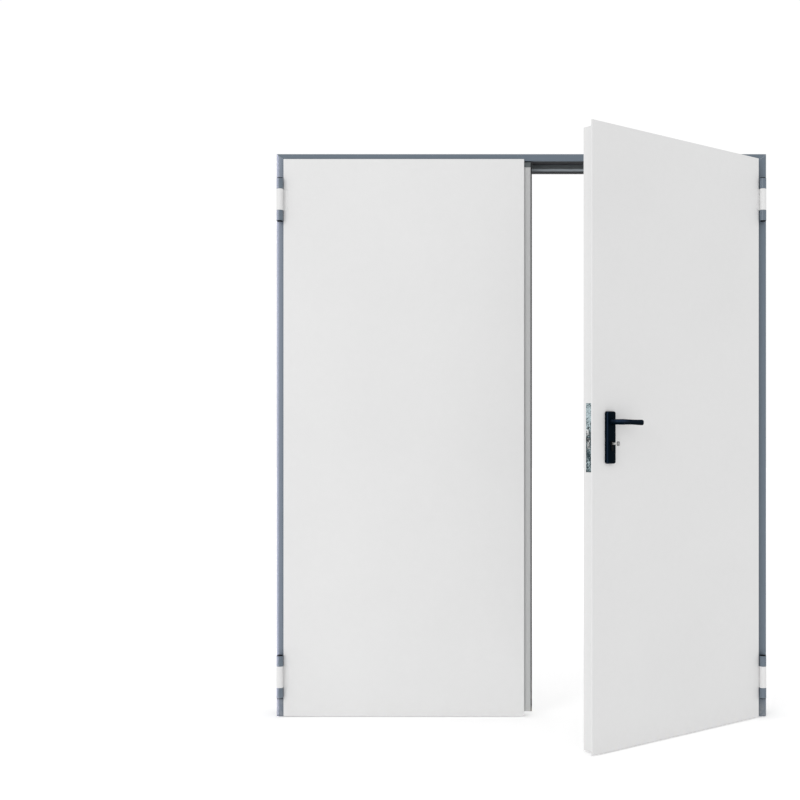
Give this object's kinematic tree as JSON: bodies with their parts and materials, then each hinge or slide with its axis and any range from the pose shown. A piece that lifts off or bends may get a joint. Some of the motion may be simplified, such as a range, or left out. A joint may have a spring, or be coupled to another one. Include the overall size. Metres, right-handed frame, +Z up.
{
  "type": "double-leaf fire door",
  "caption": "Double steel fire door in a folded steel frame: a closed passive leaf and an ajar active leaf with lever handles, key lock and knuckle hinges.",
  "frame": {"origin": "middle of the head flange's back face, the flat strip that lies on the wall above the opening: mid-width of the door, 2108.5 mm above the floor", "axes": "+Y out of that face, into the wall and away from the side the leaves open to; +Z up, along the door's height; +X along the opening, from the passive leaf to the active leaf"},
  "size_m": [1.85, 0.7004, 2.123],
  "materials": {
    "leaf_paint": "smooth light grey-white powder coat, satin",
    "frame_paint": "blue-grey powder coat, satin",
    "black_plastic": "black nylon, satin",
    "black_metal": "black coated metal",
    "seal_rubber": "matt black seal",
    "lock_steel": "zinc-plated steel",
    "key_nickel": "satin nickel",
    "anchor_zinc": "galvanised strap",
    "mineral_wool": "pressed mineral wool board, hidden inside the leaf"
  },
  "bodies": {
    "frame": {"frame_jamb_left": "frame_paint", "frame_jamb_right": "frame_paint", "frame_head": "frame_paint", "seal_left": "seal_rubber", "seal_right": "seal_rubber", "seal_head": "seal_rubber", "anchor_left_1": "anchor_zinc", "anchor_left_2": "anchor_zinc", "anchor_left_3": "anchor_zinc", "anchor_right_1": "anchor_zinc", "anchor_right_2": "anchor_zinc", "anchor_right_3": "anchor_zinc", "hinge_left_lower_frame": "frame_paint", "hinge_left_upper_frame": "frame_paint", "hinge_right_lower_frame": "frame_paint", "hinge_right_upper_frame": "frame_paint", "hinge_left_lower_pin": "black_metal", "hinge_left_upper_pin": "black_metal", "hinge_right_lower_pin": "black_metal", "hinge_right_upper_pin": "black_metal"},
    "passive_leaf": {"passive_face": "leaf_paint", "passive_tray": "leaf_paint", "passive_infill": "mineral_wool", "meeting_gasket": "seal_rubber", "strike_plate": "lock_steel", "flush_bolt_plate": "lock_steel", "hinge_left_lower_leaf": "leaf_paint", "hinge_left_upper_leaf": "leaf_paint"},
    "active_leaf": {"active_face": "leaf_paint", "active_tray": "leaf_paint", "active_infill": "mineral_wool", "lock_case": "lock_steel", "plate_front": "black_plastic", "plate_back": "black_plastic", "cylinder": "black_metal", "hinge_right_lower_leaf": "leaf_paint", "hinge_right_upper_leaf": "leaf_paint"},
    "levers": {"lever_front": "black_plastic", "lever_back": "black_plastic", "spindle": "lock_steel"},
    "latch": {"latch": "lock_steel"},
    "deadbolt": {"deadbolt": "key_nickel"},
    "key": {"plug": "black_metal", "key": "key_nickel"}
  },
  "joints": [
    {"name": "passive_swing", "type": "hinge", "parent": "frame", "child": "passive_leaf", "pos_m": [-0.907, -0.023, -1.05], "axis": [0, 0, -1], "range_deg": [0, 170]},
    {"name": "active_swing", "type": "hinge", "parent": "frame", "child": "active_leaf", "pos_m": [0.907, -0.023, -1.05], "axis": [0, 0, 1], "range_deg": [-41.4, 128.6]},
    {"name": "lever_press", "type": "hinge", "parent": "active_leaf", "child": "levers", "pos_m": [0.29882, -0.55919, -1.0055], "axis": [-0.6613, 0.7501, 0], "range_deg": [0, 40], "stiffness_Nm_per_rad": 1.5, "springref_deg": -28.65},
    {"name": "latch_draw", "type": "slide", "parent": "active_leaf", "child": "latch", "axis": [0.7501, 0.6613, 0], "range_m": [0, 0.014]},
    {"name": "key_turn", "type": "hinge", "parent": "active_leaf", "child": "key", "pos_m": [0.29882, -0.55919, -1.0775], "axis": [-0.6613, 0.7501, 0], "range_deg": [0, 360]},
    {"name": "bolt_throw", "type": "slide", "parent": "active_leaf", "child": "deadbolt", "axis": [-0.7501, -0.6613, 0], "range_m": [0, 0.022]}
  ],
  "couplings": [
    {"joint": "lever_press", "follows": "latch_draw", "rad_per_m": 49.86},
    {"joint": "key_turn", "follows": "bolt_throw", "rad_per_m": 285.5}
  ]
}
